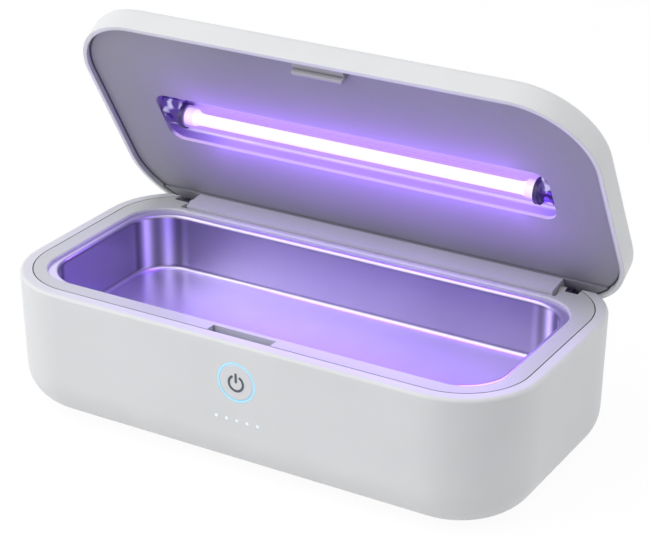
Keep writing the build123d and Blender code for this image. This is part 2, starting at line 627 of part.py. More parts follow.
barrel_rear = LID_REAR - LID_WALL - 4 * BARREL_FIT
with BuildPart() as hinge_barrel:
    with BuildSketch(LID_SECTION):
        Circle(BARREL_RADIUS)
        with BuildLine():
            Polyline(
                (BARREL_FLAT_TOP, BORDER_FACE),
                BARREL_FLAT_FOOT,
                BARREL_CORNER,
                (-2 * BARREL_RADIUS, -2 * BARREL_RADIUS),
                (-2 * BARREL_RADIUS, BORDER_FACE),
                close=True,
            )
        make_face(mode=Mode.SUBTRACT)
        with Locations((0, BORDER_FACE + BARREL_RADIUS)):
            Rectangle(4 * BARREL_RADIUS, 2 * BARREL_RADIUS, mode=Mode.SUBTRACT)
        with Locations((barrel_rear + BARREL_RADIUS, MATE_ABOVE_AXIS - BARREL_FIT + BARREL_RADIUS)):
            Rectangle(2 * BARREL_RADIUS, 2 * BARREL_RADIUS, mode=Mode.SUBTRACT)
    extrude(amount=BARREL_HALF_LENGTH, both=True)
    with BuildSketch(LID.offset(BORDER_FACE)):
        with Locations((0, 1)):
            RectangleRounded(2 * (BARREL_HALF_LENGTH - BARREL_CHANNEL_INBOARD), BARREL_CHANNEL[0], 2)
    extrude(amount=-BARREL_CHANNEL[1], mode=Mode.SUBTRACT)
    bore_depth = PIN_LENGTH - EAR_THICKNESS - (EAR_START - BARREL_HALF_LENGTH) + 1
    for side in (-1, 1):
        with BuildSketch(HINGE.offset(side * BARREL_HALF_LENGTH)):
            Circle(PIN_RADIUS + PIN_FIT)
        extrude(amount=-side * bore_depth, mode=Mode.SUBTRACT)

hinge_barrel.part.label = "hinge_barrel"
export_step(hinge_barrel.part, "parts/hinge_barrel.step")

# ---- power button, its ring, lights and control board --------------------------------------------
with BuildPart() as light_ring:
    with BuildSketch(FRONT):
        Circle(RING_RADIUS)
        Circle(RING_RADIUS - RING_WIDTH, mode=Mode.SUBTRACT)
    extrude(amount=RING_BACK)
    with BuildSketch(FRONT.offset(RING_BACK)):
        Circle(RING_RADIUS + RING_FLANGE)
        Circle(RING_RADIUS - RING_WIDTH, mode=Mode.SUBTRACT)
    extrude(amount=RING_FLANGE_THICKNESS)

light_ring.part.label = "light_ring"
export_step(light_ring.part, "parts/light_ring.step")

cap_radius = RING_RADIUS - RING_WIDTH - CAP_FIT
with BuildPart() as button_cap:
    with BuildSketch(FRONT):
        Circle(cap_radius)
    extrude(amount=-CAP_THICKNESS)
    fillet(faces().sort_by(Axis.Y)[0].edges(), CAP_NECK_INSET / 2)
    with BuildSketch(FRONT.offset(-CAP_THICKNESS)):
        Circle(cap_radius - CAP_NECK_INSET)
    extrude(amount=CAP_BACK + CAP_THICKNESS)
    with BuildSketch(FRONT.offset(CAP_BACK)):
        Circle(CAP_FLANGE_RADIUS)
    extrude(amount=CAP_FLANGE_THICKNESS)

button_cap.part.label = "button_cap"
export_step(button_cap.part, "parts/button_cap.step")

with BuildPart() as button_pad:
    with BuildSketch(FRONT.offset(CAP_BACK)):
        Circle(PAD_RADIUS)
    extrude(amount=-PAD_THICKNESS)

button_pad.part.label = "button_pad"
export_step(button_pad.part, "parts/button_pad.step")

with BuildPart() as switch_plunger:
    with BuildSketch(FRONT.offset(PLUNGER_TIP)):
        Circle(PLUNGER_RADIUS)
    extrude(amount=-PLUNGER_SHOW - PLUNGER_DEPTH)

switch_plunger.part.label = "switch_plunger"
export_step(switch_plunger.part, "parts/switch_plunger.step")

with BuildPart() as tact_switch:
    with BuildSketch(FRONT.offset(SWITCH_FRONT)):
        RectangleRounded(SWITCH_SIZE, SWITCH_SIZE, PIN_FIT * 10)
    extrude(amount=-SWITCH_HEIGHT)
    with BuildSketch(FRONT.offset(SWITCH_FRONT)):
        Circle(PLUNGER_RADIUS + PIN_FIT)
    extrude(amount=-PLUNGER_DEPTH - BUTTON_TRAVEL - RING_FIT, mode=Mode.SUBTRACT)

tact_switch.part.label = "tact_switch"
export_step(tact_switch.part, "parts/tact_switch.step")

with BuildPart() as indicator_light_pipes:
    with BuildSketch(FRONT):
        with Locations(*LIGHTS):
            Circle(LIGHT_RADIUS)
    extrude(amount=BOARD_FRONT + LED_SIZE[2] + PIN_FIT)

indicator_light_pipes.part.label = "indicator_light_pipes"
export_step(indicator_light_pipes.part, "parts/indicator_light_pipes.step")

with BuildPart() as status_leds:
    with BuildSketch(FRONT.offset(BOARD_FRONT)):
        with Locations(*LIGHTS):
            Rectangle(LED_SIZE[0], LED_SIZE[1])
    extrude(amount=LED_SIZE[2])

status_leds.part.label = "status_leds"
export_step(status_leds.part, "parts/status_leds.step")

with BuildPart() as ring_leds:
    with BuildSketch(FRONT.offset(BOARD_FRONT)):
        with PolarLocations(RING_RADIUS - RING_WIDTH / 2, 4, start_angle=45):
            Rectangle(LED_SIZE[0], LED_SIZE[1])
    extrude(amount=LED_SIZE[2])

ring_leds.part.label = "ring_leds"
export_step(ring_leds.part, "parts/ring_leds.step")

with BuildPart() as control_board:
    with BuildSketch(FRONT.offset(BOARD_FRONT)):
        with Locations((0, (BOARD_TOP + BOARD_BOTTOM) / 2)):
            Rectangle(BOARD_LENGTH, BOARD_TOP - BOARD_BOTTOM)
        with Locations(*BOARD_POSTS):
            Circle(BOARD_SCREW_RADIUS + PIN_FIT, mode=Mode.SUBTRACT)
    extrude(amount=-BOARD_THICKNESS)

control_board.part.label = "control_board"
export_step(control_board.part, "parts/control_board.step")

with BuildPart() as control_board_screws:
    screw_seat = BOARD_FRONT - BOARD_THICKNESS
    with BuildSketch(FRONT.offset(screw_seat - BOARD_SCREW_HEAD[1])):
        with Locations(*BOARD_POSTS):
            Circle(BOARD_SCREW_HEAD[0])
    extrude(amount=BOARD_SCREW_HEAD[1])
    with BuildSketch(FRONT.offset(screw_seat)):
        with Locations(*BOARD_POSTS):
            Circle(BOARD_SCREW_RADIUS)
    extrude(amount=BOARD_THICKNESS + BOARD_SCREW_DEPTH)

control_board_screws.part.label = "control_board_screws"
export_step(control_board_screws.part, "parts/control_board_screws.step")

with BuildPart() as control_chip:
    with BuildSketch(FRONT.offset(BOARD_FRONT - BOARD_THICKNESS)):
        with Locations((-BOARD_LENGTH / 5, BOARD_BOTTOM / 2)):
            Rectangle(7, 7)
    extrude(amount=-1)

control_chip.part.label = "control_chip"
export_step(control_chip.part, "parts/control_chip.step")

with BuildPart() as lid_sensor:
    with BuildSketch(FRONT.offset(BOARD_FRONT)):
        with Locations((BOARD_LENGTH / 3, BOARD_TOP - 2.5)):
            Rectangle(4, 3)
    extrude(amount=1.5)

lid_sensor.part.label = "lid_sensor"
export_step(lid_sensor.part, "parts/lid_sensor.step")

# ---- lamp driver board and charging socket -------------------------------------------------------
driver_top = DRIVER_Z + BOARD_THICKNESS
with BuildPart() as lamp_driver_board:
    with BuildSketch(Plane.XY.offset(DRIVER_Z)):
        with Locations(DRIVER_CENTRE):
            Rectangle(*DRIVER_SIZE)
        with Locations(*DRIVER_POSTS):
            Circle(BOARD_SCREW_RADIUS + PIN_FIT, mode=Mode.SUBTRACT)
    extrude(amount=BOARD_THICKNESS)

lamp_driver_board.part.label = "lamp_driver_board"
export_step(lamp_driver_board.part, "parts/lamp_driver_board.step")

with BuildPart() as driver_board_screws:
    with BuildSketch(Plane.XY.offset(driver_top)):
        with Locations(*DRIVER_POSTS):
            Circle(BOARD_SCREW_HEAD[0])
    extrude(amount=BOARD_SCREW_HEAD[1])
    with BuildSketch(Plane.XY.offset(driver_top)):
        with Locations(*DRIVER_POSTS):
            Circle(BOARD_SCREW_RADIUS)
    extrude(amount=-BOARD_THICKNESS - BOARD_SCREW_DEPTH)

driver_board_screws.part.label = "driver_board_screws"
export_step(driver_board_screws.part, "parts/driver_board_screws.step")

with BuildPart() as driver_transformer:
    with Locations((DRIVER_CENTRE[0] + 14, DRIVER_CENTRE[1] - 8, driver_top)):
        Box(*TRANSFORMER, align=(Align.CENTER, Align.CENTER, Align.MIN))
    chamfer(edges().filter_by(Axis.Z), 1.5)

driver_transformer.part.label = "driver_transformer"
export_step(driver_transformer.part, "parts/driver_transformer.step")

with BuildPart() as driver_capacitors:
    with BuildSketch(Plane.XY.offset(driver_top)):
        with Locations((DRIVER_CENTRE[0] - 16, DRIVER_CENTRE[1] - 10)):
            with GridLocations(0, 3 * CAPACITOR[0], 1, 2):
                Circle(CAPACITOR[0])
    extrude(amount=CAPACITOR[1])
    fillet(faces().sort_by(Axis.Z)[-2:].edges(), 0.6)

driver_capacitors.part.label = "driver_capacitors"
export_step(driver_capacitors.part, "parts/driver_capacitors.step")

usb_mouth = HALF_DEPTH - (RIM_HEIGHT - driver_top - USB_SIZE[1]) * tan(taper) - WALL / 2
with BuildPart() as usb_socket:
    with BuildSketch(Plane.XZ.offset(-usb_mouth)):
        with Locations((USB_X, driver_top + USB_SIZE[1] / 2)):
            SlotOverall(USB_SIZE[0], USB_SIZE[1])
    extrude(amount=USB_SIZE[2])
    with BuildSketch(Plane.XZ.offset(-usb_mouth)):
        with Locations((USB_X, driver_top + USB_SIZE[1] / 2)):
            SlotOverall(USB_SIZE[0] - 2 * USB_WALL, USB_SIZE[1] - 2 * USB_WALL)
    extrude(amount=USB_SIZE[2] - 1, mode=Mode.SUBTRACT)

usb_socket.part.label = "usb_socket"
export_step(usb_socket.part, "parts/usb_socket.step")

with BuildPart() as usb_tongue:
    with BuildSketch(Plane.XZ.offset(-usb_mouth + 1)):
        with Locations((USB_X, driver_top + USB_SIZE[1] / 2)):
            Rectangle(USB_SIZE[0] - 2.4, 0.7)
    extrude(amount=USB_SIZE[2] - 2)

usb_tongue.part.label = "usb_tongue"
export_step(usb_tongue.part, "parts/usb_tongue.step")

# ---- lid shell and liner -------------------------------------------------------------------------
with BuildPart() as lid_shell:
    with BuildSketch(LID.offset(MATE_ABOVE_AXIS)):
        lid_outline(0)
    extrude(amount=LID_HEIGHT)
    fillet(faces().sort_by(LID_UP)[-1].edges(), LID_TOP_ROUND)
    fillet(faces().sort_by(LID_UP)[0].edges(), LID_EDGE_ROUND)
    with BuildSketch(LID.offset(MATE_ABOVE_AXIS)):
        lid_outline(LID_WALL)
    extrude(amount=LID_HEIGHT - LID_SKIN, mode=Mode.SUBTRACT)
    with BuildSketch(LID.offset(LINER_BACK)):
        with Locations((0, (LID_FRONT + LID_REAR) / 2)):
            with GridLocations(LID_BOSS_SPACING[0], LID_BOSS_SPACING[1], 3, 2):
                Circle(LID_BOSS_RADIUS)
    extrude(amount=SKIN_INNER - LINER_BACK)
    # Ribs that stiffen the hinge side, from the rear wall to the line of the rear bosses.
    rib_length = LID_REAR - LID_WALL - REAR_BOSS_V
    with BuildSketch(LID.offset(LINER_BACK + LID_RIB_GAP)):
        with Locations((0, REAR_BOSS_V + rib_length / 2)):
            with GridLocations(LID_RIB_PITCH, 0, LID_RIB_COUNT, 1):
                Rectangle(LID_RIB, rib_length)
    extrude(amount=SKIN_INNER - LINER_BACK - LID_RIB_GAP)

lid_shell.part.label = "lid_shell"
export_step(lid_shell.part, "parts/lid_shell.step")

liner_inset = LID_WALL + LINER_FIT
with BuildPart() as lid_liner:
    with BuildSketch(LID.offset(LINER_FACE)):
        lid_outline(liner_inset)
    extrude(amount=LINER_THICKNESS)
    # Opening for the lamp's reflector, with a rounded edge.
    with BuildSketch(LID.offset(LINER_FACE)):
        trough_outline(0)
    extrude(amount=LINER_THICKNESS, mode=Mode.SUBTRACT)
    fillet(faces().sort_by(LID_UP)[0].inner_wires()[0].edges(), LINER_EDGE_ROUND)
    # The rear border stands proud of the liner's face, and carries the hinge barrel.
    with BuildSketch(LID.offset(BORDER_FACE)):
        lid_outline(liner_inset)
        with Locations((0, BARREL_FLAT_TOP - DEPTH / 2)):
            Rectangle(LENGTH, DEPTH, mode=Mode.SUBTRACT)
    extrude(amount=BORDER_RISE)
    # Two pockets beside the latch hook.
    hook_front = LID_FRONT + liner_inset
    with BuildSketch(LID.offset(LINER_FACE)):
        for side in (-1, 1):
            end = HOOK_X + side * HOOK_LENGTH / 2
            with BuildLine():
                Polyline(
                    (end, hook_front + HOOK_POCKET / 2),
                    (end + side * HOOK_POCKET, hook_front + HOOK_POCKET / 2),
                    (end + side * HOOK_POCKET / 2, hook_front + 3 * HOOK_POCKET / 2),
                    close=True,
                )
            make_face()
    extrude(amount=LINER_THICKNESS, mode=Mode.SUBTRACT)

lid_liner.part.label = "lid_liner"
export_step(lid_liner.part, "parts/lid_liner.step")

# ---- latch hook and the magnet that tells the box its lid is shut --------------------------------
with BuildPart() as latch_hook:
    tongue_front = LID_FRONT + HOOK_INBOARD
    with BuildSketch(LID.offset(LINER_FACE)):
        with Locations((HOOK_X, (hook_front + tongue_front + HOOK_TONGUE) / 2)):
            Rectangle(HOOK_LENGTH, tongue_front + HOOK_TONGUE - hook_front)
    extrude(amount=-HOOK_ROOT_RISE)
    with BuildSketch(LID.offset(LINER_FACE - HOOK_ROOT_RISE)):
        with Locations((HOOK_X, tongue_front + HOOK_TONGUE / 2)):
            Rectangle(HOOK_LENGTH, HOOK_TONGUE)
    extrude(amount=-(HOOK_DROP + LINER_RECESS - HOOK_ROOT_RISE))
    fillet(faces().sort_by(LID_UP)[0].edges(), HOOK_TONGUE / 3)

latch_hook.part.label = "latch_hook"
export_step(latch_hook.part, "parts/latch_hook.step")

with BuildPart() as lid_magnet:
    with BuildSketch(LID.offset(LINER_BACK)):
        with Locations((BUTTON_X + BOARD_LENGTH / 3, LID_FRONT + 2 * HOOK_INBOARD)):
            Circle(MAGNET[0])
    extrude(amount=MAGNET[1])

lid_magnet.part.label = "lid_magnet"
export_step(lid_magnet.part, "parts/lid_magnet.step")

# ---- lamp ----------------------------------------------------------------------------------------
with BuildPart() as reflector_hollow:
    with BuildSketch(LID.offset(LINER_BACK)):
        trough_outline(0, REFLECTOR_OVERRUN)
    extrude(amount=REFLECTOR_FLOOR - LINER_BACK)
    fillet(faces().sort_by(LID_UP)[-1].edges(), REFLECTOR_ROUND)

with BuildPart() as lamp_reflector:
    with BuildSketch(LID.offset(LINER_BACK)):
        trough_outline(REFLECTOR_SHEET, REFLECTOR_OVERRUN)
    extrude(amount=REFLECTOR_FLOOR - LINER_BACK + REFLECTOR_SHEET)
    fillet(faces().sort_by(LID_UP)[-1].edges(), REFLECTOR_ROUND + REFLECTOR_SHEET)
    with BuildSketch(LID.offset(LINER_BACK)):
        trough_outline(REFLECTOR_FLANGE, REFLECTOR_OVERRUN)
    extrude(amount=REFLECTOR_SHEET)
    add(reflector_hollow.part, mode=Mode.SUBTRACT)

lamp_reflector.part.label = "lamp_reflector"
export_step(lamp_reflector.part, "parts/lamp_reflector.step")

LAMP_SECTION = Plane(
    origin=LID.from_local_coords((TUBE_X, TUBE_V, TUBE_W)), x_dir=LID.y_dir, z_dir=(1, 0, 0)
)
with BuildPart() as lamp_tube:
    with BuildSketch(LAMP_SECTION):
        Circle(TUBE_RADIUS)
        Circle(TUBE_RADIUS - TUBE_GLASS, mode=Mode.SUBTRACT)
    extrude(amount=TUBE_HALF, both=True)

lamp_tube.part.label = "lamp_tube"
export_step(lamp_tube.part, "parts/lamp_tube.step")

# Each end cap plugs the glass, and a dark ring closes round it outside the glass.
with BuildPart() as lamp_end_caps:
    for side in (-1, 1):
        with BuildSketch(LAMP_SECTION.offset(side * TUBE_HALF)):
            Circle(TUBE_RADIUS)
        extrude(amount=side * CLIP_WIDTH)
        with BuildSketch(LAMP_SECTION.offset(side * TUBE_HALF)):
            Circle(TUBE_RADIUS - TUBE_GLASS - PIN_FIT)
        extrude(amount=-side * END_CAP_PLUG)

lamp_end_caps.part.label = "lamp_end_caps"
export_step(lamp_end_caps.part, "parts/lamp_end_caps.step")

with BuildPart() as lamp_clips:
    for side in (-1, 1):
        with BuildSketch(LAMP_SECTION.offset(side * TUBE_HALF)):
            Circle(CLIP_RADIUS)
            Circle(TUBE_RADIUS + PIN_FIT, mode=Mode.SUBTRACT)
        extrude(amount=side * CLIP_WIDTH)

lamp_clips.part.label = "lamp_clips"
export_step(lamp_clips.part, "parts/lamp_clips.step")

socket_start = TUBE_HALF + CLIP_WIDTH + SOCKET_FIT
SOCKET_SECTION = Plane(
    origin=LID.from_local_coords((TUBE_X, TUBE_V, REFLECTOR_FLOOR)), x_dir=LID.y_dir, z_dir=(1, 0, 0)
)
with BuildPart() as lamp_sockets:
    for side in (-1, 1):
        with BuildSketch(SOCKET_SECTION.offset(side * socket_start)):
            with BuildLine():
                Polyline(*SOCKET_PROFILE, close=True)
            make_face()
        extrude(amount=side * SOCKET_LENGTH)
    fillet(edges().filter_by(Axis.X).sort_by(LID_UP)[:4], SOCKET_ROUND)
    # What reaches past the liner's opening passes under the liner.
    with BuildSketch(LID.offset(LINER_BACK + SOCKET_FIT)):
        with Locations((TROUGH_X, TUBE_V)):
            Rectangle(LENGTH, TROUGH_WIDTH)
            Rectangle(2 * (TROUGH_HALF - SOCKET_FIT), TROUGH_WIDTH, mode=Mode.SUBTRACT)
    extrude(amount=-LID_HEIGHT, mode=Mode.SUBTRACT)

lamp_sockets.part.label = "lamp_sockets"
export_step(lamp_sockets.part, "parts/lamp_sockets.step")

socket_face = REFLECTOR_FLOOR + SOCKET_PROFILE[3][1]
socket_middle = socket_start + SOCKET_LENGTH / 2
screw_places = [
    TUBE_X + side * socket_middle + step * SOCKET_SCREW_PITCH / 2 for side in (-1, 1) for step in (-1, 1)
]
with BuildPart() as socket_screws:
    with BuildSketch(LID.offset(socket_face)):
        for place in screw_places:
            if abs(place - TROUGH_X) + SOCKET_SCREW[0] < TROUGH_HALF:
                with Locations((place, TUBE_V + SOCKET_SCREW_OFFSET)):
                    Circle(SOCKET_SCREW[0])
    extrude(amount=-SOCKET_SCREW[1])
    fillet(edges().group_by(LID_UP)[0], SOCKET_SCREW[1] / 2)

socket_screws.part.label = "socket_screws"
export_step(socket_screws.part, "parts/socket_screws.step")
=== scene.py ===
"""The looks of a UV sanitizer box for phones: materials, the lamp's glow, the power symbol and the studio."""

import math

import bmesh
import bpy
from mathutils import Matrix, Vector


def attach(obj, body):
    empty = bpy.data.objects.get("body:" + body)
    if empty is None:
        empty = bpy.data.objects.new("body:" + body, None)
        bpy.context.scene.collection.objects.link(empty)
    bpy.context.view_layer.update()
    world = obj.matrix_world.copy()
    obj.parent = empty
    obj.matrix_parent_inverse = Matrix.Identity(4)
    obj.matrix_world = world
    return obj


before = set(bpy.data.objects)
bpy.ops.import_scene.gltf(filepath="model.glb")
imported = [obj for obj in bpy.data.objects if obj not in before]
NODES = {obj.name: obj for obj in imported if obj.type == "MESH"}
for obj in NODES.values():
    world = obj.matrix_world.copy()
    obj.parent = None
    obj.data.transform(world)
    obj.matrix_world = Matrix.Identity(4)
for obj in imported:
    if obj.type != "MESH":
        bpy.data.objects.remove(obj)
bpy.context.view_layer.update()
MM = 0.001

# ---- the object's own directions and sizes, in millimetres --------------------------------------

FRONT_LEAN = math.radians(1.2)
FRONT_NORMAL = Vector((0, -math.cos(FRONT_LEAN), -math.sin(FRONT_LEAN)))
FRONT_UP = Vector((0, -math.sin(FRONT_LEAN), math.cos(FRONT_LEAN)))
RIM_HEIGHT = 58
HALF_DEPTH = 59
BUTTON_X = 3.5
BUTTON_HEIGHT = 41.6

HINGE = Vector((0, 50 * MM, 54.3 * MM))
LID_LEAN = math.radians(60)
LID_BACK = Vector((0, math.cos(LID_LEAN), -math.sin(LID_LEAN)))
LID_OUT = Vector((0, math.sin(LID_LEAN), math.cos(LID_LEAN)))

# Places on the lid run along the hinge, towards the lid's rear edge and outwards.
TUBE_MIDDLE = (4.9, -55.6, 7.2)
TUBE_HALF = 79.3
TROUGH_MIDDLE = (1.4, -53.25)
TROUGH_HALVES = (89, 13.65)
TROUGH_RADIUS = 6
LINER_MIDDLE = (0, -50)
LINER_HALVES = (113.45, 56.85)
LINER_RADIUS = 30.85

# The glow from its end inwards: distance from the end, radius, and how far it sags off the tube's axis.
GLOW_HALF = 75.4
GLOW_STATIONS = ((0, 3.6, 0), (0.4, 3.3, 0.2), (1.0, 2.9, 0.4), (2.2, 2.6, 0.6), (4.0, 2.5, 0.7))
GLOW_SIDES = 32
VIOLET = (0.34, 0.13, 1.0)

# The lamp's painted halo fades away from this rectangle.
LIT_MIDDLE = (TUBE_MIDDLE[0], TROUGH_MIDDLE[1])
LIT_HALVES = (68, TROUGH_HALVES[1])

SYMBOL_RADIUS = 3.15
SYMBOL_DROP = 0.35
SYMBOL_BAR = (3.5, 2.0, 0.3)
SYMBOL_STROKE = 0.95
SYMBOL_HEIGHT = 0.12
SYMBOL_SINK = 0.05
SYMBOL_GAP = math.radians(34)
SYMBOL_STEPS = 48
CAP_STEPS = 8


def on_lid(x, back, out):
    """A point on the lid: along the hinge, towards its rear edge, outwards."""
    return HINGE + Vector((x * MM, 0, 0)) + LID_BACK * back * MM + LID_OUT * out * MM


def on_button(x, up, out):
    """A point on the button's face: to the right, up the face, outwards."""
    lean_back = (RIM_HEIGHT - BUTTON_HEIGHT) * math.tan(FRONT_LEAN)
    middle = Vector((BUTTON_X, lean_back - HALF_DEPTH, BUTTON_HEIGHT)) * MM
    return middle + Vector((x * MM, 0, 0)) + FRONT_UP * up * MM + FRONT_NORMAL * out * MM


# ---- node helpers -------------------------------------------------------------------------------


def new_material(name):
    """An empty material with a Principled shader."""
    material = bpy.data.materials.new(name)
    material.use_nodes = True
    tree = material.node_tree
    tree.nodes.clear()
    out = tree.nodes.new("ShaderNodeOutputMaterial")
    shader = tree.nodes.new("ShaderNodeBsdfPrincipled")
    tree.links.new(shader.outputs[0], out.inputs["Surface"])
    return material, tree, shader


def opened(material):
    """A material's node tree and its Principled shader."""
    tree = material.node_tree
    return tree, tree.nodes["Principled BSDF"]


def node(tree, kind, settings=(), **inputs):
    """A shader node, with its settings, and with its sockets set or linked by name."""
    made = tree.nodes.new("ShaderNode" + kind)
    for key, value in dict(settings).items():
        setattr(made, key, value)
    for key, value in inputs.items():
        feed(tree, value, made.inputs[key.replace("_", " ")])
    return made


def feed(tree, value, socket):
    """Links a varying value to a socket, or sets a plain one on it."""
    if isinstance(value, bpy.types.NodeSocket):
        tree.links.new(value, socket)
    else:
        socket.default_value = value


def own_axis(tree, kind, axis):
    """One axis of the surface's place (Object) or of its facing (Normal), in the object's own frame."""
    split = node(tree, "SeparateXYZ", Vector=node(tree, "TexCoord").outputs[kind])
    return split.outputs[axis]


def noise(tree, scale, detail=3.0, rough=0.5, stretch=(1, 1, 1)):
    place = node(tree, "Mapping", Vector=node(tree, "TexCoord").outputs["Object"], Scale=stretch)
    made = node(
        tree, "TexNoise", Vector=place.outputs[0], Scale=scale, Detail=detail, Roughness=rough
    )
    return made.outputs["Fac"]


def arithmetic(tree, operation, *values):
    made = node(tree, "Math", {"operation": operation})
    for socket, value in zip(made.inputs, values):
        feed(tree, value, socket)
    return made.outputs[0]


def product(tree, first, *others):
    for other in others:
        first = arithmetic(tree, "MULTIPLY", first, other)
    return first


def spread(tree, value, low, high, from_low=0.3, from_high=0.7):
    """Maps a value's range onto another, and holds it at the two ends."""
    made = node(
        tree, "MapRange", Value=value, From_Min=from_low, From_Max=from_high, To_Min=low, To_Max=high
    )
    return made.outputs["Result"]


def shades(tree, value, low, high):
    """Blends between two colours."""
    made = node(tree, "Mix", {"data_type": "RGBA"}, Factor=value)
    first, second = [socket for socket in made.inputs if socket.type == "RGBA"]
    first.default_value = (*low, 1)
    second.default_value = (*high, 1)
    return [socket for socket in made.outputs if socket.type == "RGBA"][0]


def scaled(colour, factor):
    return tuple(min(1.0, c * factor) for c in colour)


def dimmed(tree, colour, share):
    """The colour times a share that varies over the surface."""
    made = node(tree, "VectorMath", {"operation": "SCALE"}, Scale=share)
    tree.links.new(colour, made.inputs[0])
    return made.outputs[0]


def dim_base(tree, shader, share):
    """Dims the base colour that a shader already has."""
    tint = shader.inputs["Base Color"].links[0].from_socket
    tree.links.new(dimmed(tree, tint, share), shader.inputs["Base Color"])


def bump(tree, shader, height, strength, distance):
    made = node(tree, "Bump", Height=height, Strength=strength, Distance=distance)
    tree.links.new(made.outputs["Normal"], shader.inputs["Normal"])


SEAM_SHADE = 0.3


def painted_seam_shade(tree, colour, reach):
    """The colour with painted shade: darkened where another surface stands within reach of it, as in a seam.
    """
    open_to = node(tree, "AmbientOcclusion", {"samples": 6}, Distance=reach * MM)
    share = spread(tree, open_to.outputs["AO"], SEAM_SHADE, 1, from_low=0.25, from_high=0.9)
    return dimmed(tree, colour, share)


def measured_from(tree, point, direction):
    """How far along a direction each place on the surface lies from a point."""
    offset = node(tree, "VectorMath", {"operation": "SUBTRACT"})
    tree.links.new(node(tree, "TexCoord").outputs["Object"], offset.inputs[0])
    offset.inputs[1].default_value = point
    along = node(tree, "VectorMath", {"operation": "DOT_PRODUCT"})
    tree.links.new(offset.outputs[0], along.inputs[0])
    along.inputs[1].default_value = direction
    return along.outputs["Value"]


def off_rectangle(tree, middle, halves, radius=0):
    """Distance, on the lid's plane, from a rectangle drawn in by a corner radius; nothing inside it."""
    squares = []
    for direction, half in zip((Vector((1, 0, 0)), LID_BACK), halves):
        size = arithmetic(tree, "ABSOLUTE", measured_from(tree, on_lid(*middle, 0), direction))
        gap = arithmetic(tree, "MAXIMUM", arithmetic(tree, "SUBTRACT", size, (half - radius) * MM), 0)
        squares.append(product(tree, gap, gap))
    return arithmetic(tree, "SQRT", arithmetic(tree, "ADD", *squares))


# ---- kinds of material --------------------------------------------------------------------------


def moulded(name, colour, rough, grain=1400, depth=0.012, drift=0.02, coat=0.0, seam_shade_reach=0.0):
    """Moulded plastic: a fine spark-eroded grain, slightly uneven colour and gloss, and painted shade in its
    seams if a reach is given.
    """
    material, tree, shader = new_material(name)
    broad = spread(tree, noise(tree, scale=26, detail=2), 0, 1)
    tint = shades(tree, broad, scaled(colour, 1 - drift), scaled(colour, 1 + drift))
    # Painted shade: the colour darkens where other surfaces stand close, as in seams and gaps.
    if seam_shade_reach:
        tint = painted_seam_shade(tree, tint, seam_shade_reach)
    tree.links.new(tint, shader.inputs["Base Color"])
    fine = noise(tree, scale=grain, detail=2, rough=0.6)
    gloss_spread = 0.06
    gloss = spread(tree, fine, rough - gloss_spread, rough + gloss_spread)
    tree.links.new(gloss, shader.inputs["Roughness"])
    bump(tree, shader, fine, strength=0.5, distance=depth * MM)
    shader.inputs["IOR"].default_value = 1.46
    if coat:
        shader.inputs["Coat Weight"].default_value = coat
        shader.inputs["Coat Roughness"].default_value = 0.12
    return material


def metal(name, colour, rough, stretch=(1, 1, 1), scale=900, depth=0.004, streak=0.08):
    """Metal with fine marks, which stretch can draw out along one direction, as in rolled sheet."""
    material, tree, shader = new_material(name)
    shader.inputs["Metallic"].default_value = 1.0
    marks = noise(tree, scale, detail=4, rough=0.6, stretch=stretch)
    broad = spread(tree, noise(tree, scale=30, detail=2), 0, 1)
    drift = 0.03
    tint = shades(tree, broad, scaled(colour, 1 - drift), scaled(colour, 1 + drift))
    tree.links.new(tint, shader.inputs["Base Color"])
    tree.links.new(spread(tree, marks, rough - streak, rough + streak), shader.inputs["Roughness"])
    bump(tree, shader, marks, strength=0.4, distance=depth * MM)
    return material


def glowing(name, colour, glow, strength):
    """Translucent light guide, lit from inside, a little uneven along its length."""
    material, tree, shader = new_material(name)
    uneven = spread(tree, noise(tree, scale=240, detail=2), 0, 1)
    tree.links.new(shades(tree, uneven, scaled(colour, 0.94), colour), shader.inputs["Base Color"])
    tree.links.new(shades(tree, uneven, scaled(glow, 0.9), glow), shader.inputs["Emission Color"])
    shader.inputs["Emission Strength"].default_value = strength
    shader.inputs["Roughness"].default_value = 0.3
    return material


def painted_lamp_glow(material, colour, strength, reach):
    """Paints the tube's violet light onto a surface beside it, as a glow that fades away from the lamp."""
    tree, shader = opened(material)
    shader.inputs["Emission Color"].default_value = (*colour, 1)
    away = off_rectangle(tree, LIT_MIDDLE, LIT_HALVES)
    fade = arithmetic(tree, "EXPONENT", product(tree, away, -1 / (reach * MM)))
    tree.links.new(product(tree, fade, strength), shader.inputs["Emission Strength"])
    return material


def shade_round_liner(material, inside, outside, start, end):
    """Paints shade: dims the colour by one share inside the liner's outline and by another outside it.

    The share changes between two distances from the outline, in millimetres. The lid's outer face stays
    as it is.
    """
    tree, shader = opened(material)
    rounding = off_rectangle(tree, LINER_MIDDLE, LINER_HALVES, LINER_RADIUS)
    band = spread(
        tree, rounding, inside, outside,
        from_low=(LINER_RADIUS + start) * MM, from_high=(LINER_RADIUS + end) * MM,
    )
    outwards = measured_from(tree, HINGE, LID_OUT)
    outer_face = spread(tree, outwards, 0, 1, from_low=6 * MM, from_high=7 * MM)
    dim_base(tree, shader, arithmetic(tree, "MAXIMUM", band, outer_face))
    return material


# ---- materials with a form of their own ---------------------------------------------------------


TUB_WALL_SHADE = 0.45
TUB_REFLECTION_BANDS = 12
TUB_REFLECTION_CONTRAST = 2.1
TUB_RIGHT_SHADE = 0.66


